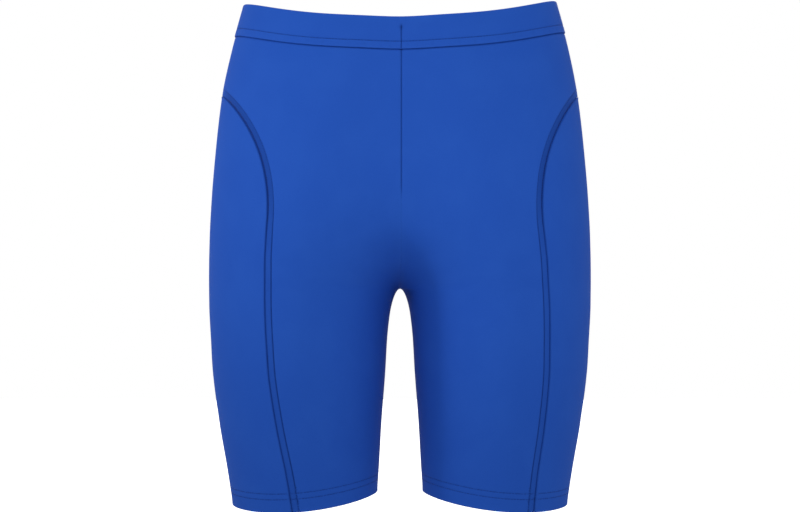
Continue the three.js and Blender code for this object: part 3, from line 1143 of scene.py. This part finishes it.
def knit_loops_group():
    """Fine knit loops in rows and columns, from a place on the cloth."""
    group, graph, given, result = shader_group(
        "Knit loops",
        [
            ("Place", "NodeSocketVector", None),
            ("Column", "NodeSocketFloat", KNIT_COLUMN),
            ("Row", "NodeSocketFloat", KNIT_ROW),
        ],
        [("Height", "NodeSocketFloat")],
    )
    parts = graph.node("ShaderNodeSeparateXYZ")
    graph.feed(parts.inputs[0], given["Place"])
    column = graph.math("DIVIDE", parts.outputs[0], given["Column"])
    leg = graph.math("ABSOLUTE", graph.math("SINE", graph.math("MULTIPLY", column, math.pi)))
    row = graph.math("DIVIDE", parts.outputs[1], given["Row"])
    slanted = graph.math("MULTIPLY_ADD", leg, 0.5, row)
    loop = graph.math("SINE", graph.math("MULTIPLY", slanted, math.tau))
    graph.feed(result["Height"], graph.math("MULTIPLY_ADD", loop, 0.3, leg))
    return group


def cloth_tone_group():
    """Uneven dye and soft rubbing over the cloth, random dark flecks, a little lighter beside the
    seams, and shade painted into grooves.
    """
    group, graph, given, result = shader_group(
        "Cloth tone",
        [
            ("Place", "NodeSocketVector", None),
            ("Dye", "NodeSocketColor", (0.1, 0.1, 0.1, 1)),
            ("Rubbed", "NodeSocketColor", (0.2, 0.2, 0.2, 1)),
            ("Shade", "NodeSocketColor", (0.05, 0.05, 0.05, 1)),
            ("Hollow", "NodeSocketFloat", 0.0),
            ("Amount", "NodeSocketFloat", 0.3),
            ("Roughness", "NodeSocketFloat", 0.5),
        ],
        [("Color", "NodeSocketColor"), ("Roughness", "NodeSocketFloat")],
    )
    wide = graph.noise(given["Place"], 22.0, 3.0, 0.55)
    fine = graph.noise(given["Place"], 900.0, 2.0, 0.6)
    patches = graph.spread(wide, 0.35, 0.7, 0.0, 1.0)
    share = graph.math("MULTIPLY", patches, given["Amount"])
    toned = graph.mix(share, given["Dye"], given["Rubbed"])
    flecks = graph.math("MULTIPLY", graph.spread(fine, 0.4, 0.75, 0.0, 0.2), given["Amount"])
    toned = graph.mix(flecks, toned, given["Shade"])
    parts = graph.node("ShaderNodeSeparateXYZ")
    graph.feed(parts.inputs[0], given["Place"])
    seam = parts.outputs[2]
    # A little lighter towards the Rubbed colour within a few millimetres of every seam
    lighter_by_seams = graph.math("MULTIPLY", graph.spread(seam, 0.0004, 0.0032, 0.5, 0.0), given["Amount"])
    toned = graph.mix(lighter_by_seams, toned, given["Rubbed"])
    # Painted shade: darker towards the Shade colour where the cloth lies in a groove or fold
    toned = graph.mix(given["Hollow"], toned, given["Shade"])
    graph.feed(result["Color"], toned)
    duller = graph.math("MULTIPLY_ADD", graph.math("SUBTRACT", wide, 0.5), 0.12, given["Roughness"])
    graph.feed(result["Roughness"], duller)
    return group


def thread_ply_group():
    """The slanting plies of sewing thread, from a place along and round it."""
    group, graph, given, result = shader_group(
        "Thread plies",
        [("Place", "NodeSocketVector", None), ("Plies", "NodeSocketFloat", 6.0)],
        [("Height", "NodeSocketFloat")],
    )
    parts = graph.node("ShaderNodeSeparateXYZ")
    graph.feed(parts.inputs[0], given["Place"])
    slant = graph.math("ADD", parts.outputs[0], parts.outputs[1])
    wave = graph.math("SINE", graph.math("MULTIPLY", slant, given["Plies"]))
    graph.feed(result["Height"], wave)
    return group


def group_node(graph, group, **values):
    made = graph.node("ShaderNodeGroup", node_tree=group)
    for name, value in values.items():
        graph.feed(made.inputs[name], value)
    return made.outputs


def loops_node(graph, place, column, row):
    """The height of knit loops of a size."""
    group = shared_group("Knit loops", knit_loops_group)
    return group_node(graph, group, Place=place, Column=column, Row=row)["Height"]


def new_material(name):
    """A material with its graph, its Principled shader and the place on the cloth."""
    material = bpy.data.materials.new(name)
    material.use_nodes = True
    graph = Graph(material.node_tree)
    shader = material.node_tree.nodes["Principled BSDF"]
    return material, graph, shader, stored(graph, "cloth")["Vector"]


def stored(graph, name):
    """What the mesh stores on each point under a name."""
    return graph.node("ShaderNodeAttribute", attribute_type="GEOMETRY", attribute_name=name).outputs


def bump(graph, shader, height, strength, distance):
    made = graph.node("ShaderNodeBump")
    made.inputs["Strength"].default_value = strength
    made.inputs["Distance"].default_value = distance
    graph.feed(made.inputs["Height"], height)
    graph.feed(shader.inputs["Normal"], made.outputs["Normal"])


def opaque(colour):
    return (*colour, 1.0)


def knit_material(name, rough):
    """Smooth satin stretch knit, dyed one colour."""
    colours = bpy.context.scene.shorts_colours
    material, graph, shader, place = new_material(name)
    # The tone group paints shade into grooves from the stored painted shade
    tone = group_node(
        graph,
        shared_group("Cloth tone", cloth_tone_group),
        Place=place,
        Dye=opaque(colours.knit),
        Rubbed=opaque(colours.rubbed),
        Shade=opaque(colours.shade),
        Hollow=stored(graph, "hollow")["Fac"],
        Amount=0.35,
        Roughness=rough,
    )
    loops = loops_node(graph, place, KNIT_COLUMN, KNIT_ROW)
    graph.feed(shader.inputs["Base Color"], tone["Color"])
    graph.feed(shader.inputs["Roughness"], tone["Roughness"])
    shader.inputs["IOR"].default_value = 1.25
    shader.inputs["Specular IOR Level"].default_value = 0.05
    shader.inputs["Sheen Weight"].default_value = 0.03
    shader.inputs["Sheen Roughness"].default_value = 0.45
    shader.inputs["Sheen Tint"].default_value = opaque(colours.sheen)
    bump(graph, shader, loops, 0.35, FINE_BUMP)
    return material


def thread_material():
    """Matching sewing thread, a little darker and glossier than the knit, with shade painted
    between its plies.
    """
    colours = bpy.context.scene.shorts_colours
    material, graph, shader, place = new_material("Sewing thread")
    plies = group_node(
        graph, shared_group("Thread plies", thread_ply_group), Place=place, Plies=math.tau * PLIES
    )
    # Painted shade: darker towards the Shade colour where the plies dip
    shade = graph.spread(plies["Height"], -1.0, 1.0, 0.0, 1.0)
    colour = graph.mix(shade, opaque(colours.shade), opaque(colours.thread))
    graph.feed(shader.inputs["Base Color"], colour)
    shader.inputs["Roughness"].default_value = 0.45
    shader.inputs["Specular IOR Level"].default_value = 0.08
    bump(graph, shader, plies["Height"], 0.3, FINE_BUMP)
    return material


def overlock_material():
    """Looped overlocking over the cut edges inside, with shade painted between its loops."""
    colours = bpy.context.scene.shorts_colours
    material, graph, shader, place = new_material("Overlocked edge")
    loops = loops_node(graph, place, OVERLOCK_COLUMN, OVERLOCK_ROW)
    # Painted shade: darker towards the Shade colour where the loops dip
    shade = graph.spread(loops, 0.0, 1.2, 0.0, 1.0)
    colour = graph.mix(shade, opaque(colours.shade), opaque(colours.thread))
    graph.feed(shader.inputs["Base Color"], colour)
    shader.inputs["Roughness"].default_value = 0.6
    shader.inputs["Specular IOR Level"].default_value = 0.1
    bump(graph, shader, loops, 0.7, OVERLOCK_BUMP)
    return material


def floor_material():
    """Pale matt studio paper."""
    material = bpy.data.materials.new("Studio paper")
    material.use_nodes = True
    graph = Graph(material.node_tree)
    shader = material.node_tree.nodes["Principled BSDF"]
    coordinates = graph.node("ShaderNodeTexCoord")
    mottle = graph.noise(coordinates.outputs["Object"], 3.0, 2.0, 0.5)
    colour = opaque(bpy.context.scene.shorts_colours.floor)
    whiter = graph.mix(graph.math("MULTIPLY", mottle, 0.1), colour, (1, 1, 1, 1))
    graph.feed(shader.inputs["Base Color"], whiter)
    shader.inputs["Roughness"].default_value = 0.9
    shader.inputs["Emission Color"].default_value = (1, 1, 1, 1)
    seen = graph.node("ShaderNodeLightPath").outputs["Is Camera Ray"]
    graph.feed(shader.inputs["Emission Strength"], seen)
    return material


def shared_group(name, make):
    return bpy.data.node_groups.get(name) or make()


def shared_material(name, make):
    return bpy.data.materials.get(name) or make()


def knit():
    return shared_material("Satin knit", lambda: knit_material("Satin knit", KNIT_ROUGH))


def band_knit():
    return shared_material("Band knit", lambda: knit_material("Band knit", BAND_ROUGH))


# The stage


def add_light(name, place, aim, power):
    """A square light with a narrow beam, which faces the hips and fades towards the hems."""
    data = bpy.data.lights.new(name.title(), "AREA")
    data.shape = "SQUARE"
    data.size = LIGHT_SIZE
    data.energy = power
    data.spread = LIGHT_SPREAD
    light = bpy.data.objects.new(data.name, data)
    light.location = place
    light.rotation_euler = (Vector(aim) - Vector(place)).to_track_quat("-Z", "Y").to_euler()
    bpy.context.scene.collection.objects.link(light)


def add_camera():
    stage = bpy.context.scene.shorts_stage
    data = bpy.data.cameras.new("Camera")
    data.sensor_width = SENSOR
    data.lens = stage.lens
    camera = bpy.data.objects.new("Camera", data)
    turn = stage.camera_turn
    camera.location = (
        stage.camera_distance * math.sin(turn),
        -stage.camera_distance * math.cos(turn),
        stage.camera_height,
    )
    camera.rotation_euler = (math.pi / 2, 0, turn)
    bpy.context.scene.collection.objects.link(camera)
    bpy.context.scene.camera = camera


def add_floor():
    stage = bpy.context.scene.shorts_stage
    half = stage.floor_size / 2
    corners = np.array([(-1, -1, 0), (1, -1, 0), (1, 1, 0), (-1, 1, 0)]) * half
    corners[:, 2] = stage.floor_level
    floor = mesh_object("studio_floor", corners, [(0, 1, 2, 3)])
    floor.data.materials.append(floor_material())


def set_world():
    """A surround that looks white, and lights the shorts more softly than that."""
    world = bpy.data.worlds.new("Studio")
    world.use_nodes = True
    graph = Graph(world.node_tree)
    background = world.node_tree.nodes["Background"]
    background.inputs["Color"].default_value = (1, 1, 1, 1)
    seen = graph.node("ShaderNodeLightPath").outputs["Is Camera Ray"]
    ambient = bpy.context.scene.shorts_stage.surround
    strength = graph.math("MULTIPLY_ADD", seen, 1 - ambient, ambient)
    graph.feed(background.inputs["Strength"], strength)
    bpy.context.scene.world = world


# Settings, operators and the sidebar


class ShortsCloth(bpy.types.PropertyGroup):
    wall: FloatProperty(
        name="Cloth",
        description="Thickness of one layer of the knit",
        default=0.0010,
        unit="LENGTH",
    )
    hem_wall: FloatProperty(
        name="Hem",
        description="Thickness of the cloth turned up at the hem",
        default=0.0020,
        unit="LENGTH",
    )
    band_wall: FloatProperty(
        name="Waistband",
        description="Thickness of the knit folded over its elastic",
        default=0.0024,
        unit="LENGTH",
    )
    stitch_pitch: FloatProperty(
        name="Stitch",
        description="Distance from one stitch to the next",
        default=0.0028,
        unit="LENGTH",
    )
    thread: FloatProperty(
        name="Thread",
        description="Radius of the sewing thread",
        default=0.00017,
        unit="LENGTH",
    )


class ShortsColours(bpy.types.PropertyGroup):
    knit: FloatVectorProperty(
        name="Knit",
        description="Dyed colour of the knit",
        default=(0.0188, 0.0888, 0.475),
        subtype="COLOR",
    )
    rubbed: FloatVectorProperty(
        name="Rubbed",
        description="Colour where the knit is rubbed",
        default=(0.0238, 0.1040, 0.510),
        subtype="COLOR",
    )
    # Painted shade in grooves, seams, the fold and between plies and loops, and the colour of the
    # knit's random dark flecks
    shade: FloatVectorProperty(
        name="Shade",
        description="Colour between loops and in seams",
        default=(0.0050, 0.0270, 0.175),
        subtype="COLOR",
    )
    sheen: FloatVectorProperty(
        name="Sheen",
        description="Tint of the soft sheen",
        default=(0.35, 0.5, 0.9),
        subtype="COLOR",
    )
    thread: FloatVectorProperty(
        name="Thread",
        description="Colour of the sewing thread",
        default=(0.0040, 0.036, 0.250),
        subtype="COLOR",
    )
    floor: FloatVectorProperty(
        name="Floor",
        description="Colour of the studio floor",
        default=(0.86, 0.86, 0.86),
        subtype="COLOR",
    )


class ShortsStage(bpy.types.PropertyGroup):
    camera_distance: FloatProperty(
        name="Distance",
        description="From the camera to the middle of the shorts",
        default=1.9,
        unit="LENGTH",
    )
    camera_height: FloatProperty(
        name="Height",
        description="Height that the camera stands at and looks level from",
        default=-0.2124,
        unit="LENGTH",
    )
    camera_turn: FloatProperty(
        name="Turn",
        description="How far round the camera stands",
        default=math.radians(-0.7),
        subtype="ANGLE",
    )
    lens: FloatProperty(
        name="Lens",
        description="Focal length in millimetres",
        default=95,
        unit="CAMERA",
    )
    surround: FloatProperty(
        name="Surround",
        description="How brightly the white surround lights the shorts",
        default=0.64,
    )
    key: FloatProperty(
        name="Key",
        description="Power of the light in front",
        default=0.124,
        unit="POWER",
    )
    left: FloatProperty(
        name="Left",
        description="Power of the light on the left",
        default=0.195,
        unit="POWER",
    )
    right: FloatProperty(
        name="Right",
        description="Power of the light at the front on the right",
        default=0.074,
        unit="POWER",
    )
    top: FloatProperty(
        name="Top",
        description="Power of the light above the front",
        default=0.075,
        unit="POWER",
    )
    rear: FloatProperty(
        name="Rear",
        description="Power of the light behind",
        default=0.25,
        unit="POWER",
    )
    floor_level: FloatProperty(
        name="Floor",
        description="Height of the floor",
        default=-0.75,
        unit="LENGTH",
    )
    floor_size: FloatProperty(
        name="Floor size",
        description="Width of the floor",
        default=12.0,
        unit="LENGTH",
    )


def dressed(piece, node, material):
    """A sewn piece that stands for its CAD node, in its material."""
    piece.data.materials.append(material)
    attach(piece, "root")
    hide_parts(node)


class SHORTS_OT_panels(bpy.types.Operator):
    """Build the two fronts, two backs and two side panels"""

    bl_idname = "shorts.panels"
    bl_label = "Panels"

    def execute(self, context):
        for panel in PANELS:
            piece, (width, length), area = panel.build()
            dressed(piece, panel.name, knit())
        return {"FINISHED"}


class SHORTS_OT_waistband(bpy.types.Operator):
    """Build the elastic waistband, folded over at the top"""

    bl_idname = "shorts.waistband"
    bl_label = "Waistband"

    def execute(self, context):
        piece, girth = build_waistband()
        dressed(piece, "waistband", band_knit())
        return {"FINISHED"}


class SHORTS_OT_topstitching(bpy.types.Operator):
    """Sew the rows of stitches beside the seams, on the hems and on the waistband"""

    bl_idname = "shorts.topstitching"
    bl_label = "Topstitching"

    def execute(self, context):
        piece = build_topstitching()
        piece.data.materials.append(shared_material("Sewing thread", thread_material))
        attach(piece, "root")
        return {"FINISHED"}


class SHORTS_OT_inside_seams(bpy.types.Operator):
    """Build the overlocked seam allowances on the inside"""

    bl_idname = "shorts.inside_seams"
    bl_label = "Inside seams"

    def execute(self, context):
        piece = build_inside_seams()
        piece.data.materials.append(shared_material("Overlocked edge", overlock_material))
        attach(piece, "root")
        return {"FINISHED"}


class SHORTS_OT_stage(bpy.types.Operator):
    """Set up the white floor and surround, the soft lights and the camera"""

    bl_idname = "shorts.stage"
    bl_label = "Stage"

    def execute(self, context):
        stage = context.scene.shorts_stage
        add_floor()
        set_world()
        for name, place, aim in LIGHTS:
            add_light(name, place, aim, getattr(stage, name))
        add_camera()
        context.scene.view_settings.view_transform = "Standard"
        return {"FINISHED"}


OPERATORS = (
    SHORTS_OT_stage,
    SHORTS_OT_panels,
    SHORTS_OT_waistband,
    SHORTS_OT_topstitching,
    SHORTS_OT_inside_seams,
)


class SHORTS_PT_sidebar(bpy.types.Panel):
    """The pieces of the shorts and their settings"""

    bl_idname = "SHORTS_PT_sidebar"
    bl_label = "Cycling shorts"
    bl_space_type = "VIEW_3D"
    bl_region_type = "UI"
    bl_category = "Shorts"

    def draw(self, context):
        for setting in SETTINGS:
            group = getattr(context.scene, setting)
            box = self.layout.box()
            for name in group.__annotations__:
                box.prop(group, name)
        for operator in OPERATORS:
            self.layout.operator(operator.bl_idname)


SETTINGS = {
    "shorts_cloth": ShortsCloth,
    "shorts_colours": ShortsColours,
    "shorts_stage": ShortsStage,
}
CLASSES = (*SETTINGS.values(), *OPERATORS, SHORTS_PT_sidebar)


def register():
    for kind in CLASSES:
        bpy.utils.register_class(kind)
    for name, kind in SETTINGS.items():
        setattr(bpy.types.Scene, name, PointerProperty(type=kind))


def unregister():
    for name in SETTINGS:
        delattr(bpy.types.Scene, name)
    for kind in reversed(CLASSES):
        bpy.utils.unregister_class(kind)


def main():
    register()
    bpy.ops.shorts.stage()
    bpy.ops.shorts.panels()
    bpy.ops.shorts.waistband()
    bpy.ops.shorts.topstitching()
    bpy.ops.shorts.inside_seams()


if __name__ == "__main__":
    main()
